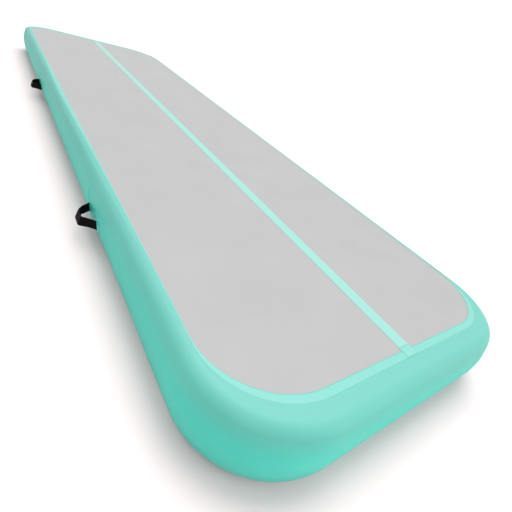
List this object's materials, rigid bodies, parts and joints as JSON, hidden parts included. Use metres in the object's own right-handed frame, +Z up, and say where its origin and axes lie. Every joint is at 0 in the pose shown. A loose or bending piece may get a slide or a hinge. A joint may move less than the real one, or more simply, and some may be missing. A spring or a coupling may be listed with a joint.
{
  "type": "air track mat",
  "caption": "Long inflated tumbling mat: drop-stitch body with a grey deck, mint taped edge and bulged wall, webbing carry handles and an air valve.",
  "frame": {"origin": "on the floor, under the middle of the mat", "axes": "+Y along the mat towards its rear end, +X to the right wall, +Z up"},
  "size_m": [2.162, 6.999, 0.33],
  "materials": {
    "grey_pvc": "matte",
    "mint_pvc": "satin",
    "mint_tape": "satin",
    "pale_mint_stripe": "matte",
    "drop_stitch_fabric": "matte",
    "grey_lining": "matte",
    "white_yarn": "matte",
    "black_webbing": "matte",
    "mint_thread": "matte",
    "black_plastic": "satin",
    "black_rubber": "matte",
    "spring_steel": "satin"
  },
  "bodies": {
    "mat": {"top_deck_panel": "grey_pvc", "base_sheet": "grey_pvc", "top_skin": "drop_stitch_fabric", "bottom_skin": "drop_stitch_fabric", "top_edge_tape": "mint_tape", "bottom_edge_tape": "mint_tape", "outer_side_band": "mint_pvc", "inner_side_band": "grey_lining", "inner_top_seam_tape": "grey_lining", "inner_bottom_seam_tape": "grey_lining", "band_joint_strip": "mint_tape", "drop_stitch_threads": "white_yarn", "centre_stripe": "pale_mint_stripe", "stripe_tab_front": "mint_tape", "stripe_tab_rear": "mint_tape", "valve_patch": "mint_pvc", "valve_gasket": "black_rubber", "valve_body": "black_plastic", "valve_core": "black_plastic", "valve_nut": "black_plastic", "valve_spring": "spring_steel", "valve_cap_tether": "black_rubber", "handle_front_left_patch": "mint_pvc", "handle_front_left_anchors": "black_webbing", "handle_front_left_roots": "black_webbing", "handle_front_left_stitching": "mint_thread", "handle_front_right_patch": "mint_pvc", "handle_front_right_anchors": "black_webbing", "handle_front_right_roots": "black_webbing", "handle_front_right_stitching": "mint_thread", "handle_rear_left_patch": "mint_pvc", "handle_rear_left_anchors": "black_webbing", "handle_rear_left_roots": "black_webbing", "handle_rear_left_stitching": "mint_thread", "handle_rear_right_patch": "mint_pvc", "handle_rear_right_anchors": "black_webbing", "handle_rear_right_roots": "black_webbing", "handle_rear_right_stitching": "mint_thread"},
    "handle_front_left": {"handle_front_left_strap": "black_webbing"},
    "handle_front_right": {"handle_front_right_strap": "black_webbing"},
    "handle_rear_left": {"handle_rear_left_strap": "black_webbing"},
    "handle_rear_right": {"handle_rear_right_strap": "black_webbing"},
    "valve_plunger": {"valve_stem": "black_plastic", "valve_seal": "black_rubber", "valve_button": "black_plastic"},
    "valve_lid": {"valve_cap": "black_plastic", "valve_cap_seal": "black_rubber"}
  },
  "joints": [
    {"name": "handle_front_left_swing", "type": "hinge", "parent": "mat", "child": "handle_front_left", "pos_m": [-1.01, -1.78, 0.125], "axis": [0, 1, 0], "range_deg": [-55, 55], "deforming": ["handle_front_left_roots"]},
    {"name": "handle_front_right_swing", "type": "hinge", "parent": "mat", "child": "handle_front_right", "pos_m": [1.01, -1.78, 0.125], "axis": [0, -1, 0], "range_deg": [-55, 55], "deforming": ["handle_front_right_roots"]},
    {"name": "handle_rear_left_swing", "type": "hinge", "parent": "mat", "child": "handle_rear_left", "pos_m": [-1.01, 0.9, 0.125], "axis": [0, 1, 0], "range_deg": [-55, 55], "deforming": ["handle_rear_left_roots"]},
    {"name": "handle_rear_right_swing", "type": "hinge", "parent": "mat", "child": "handle_rear_right", "pos_m": [1.01, 0.9, 0.125], "axis": [0, -1, 0], "range_deg": [-55, 55], "deforming": ["handle_rear_right_roots"]},
    {"name": "valve_press", "type": "slide", "parent": "mat", "child": "valve_plunger", "axis": [-1, 0, 0], "range_m": [0, 0.004], "stiffness_N_per_m": 400, "springref_m": -0.003, "deforming": ["valve_spring"]},
    {"name": "valve_cap_swing", "type": "hinge", "parent": "mat", "child": "valve_lid", "pos_m": [1.0045, 2.564, 0.165], "axis": [0, 0, -1], "range_deg": [0, 140], "deforming": ["valve_cap_tether"]}
  ]
}
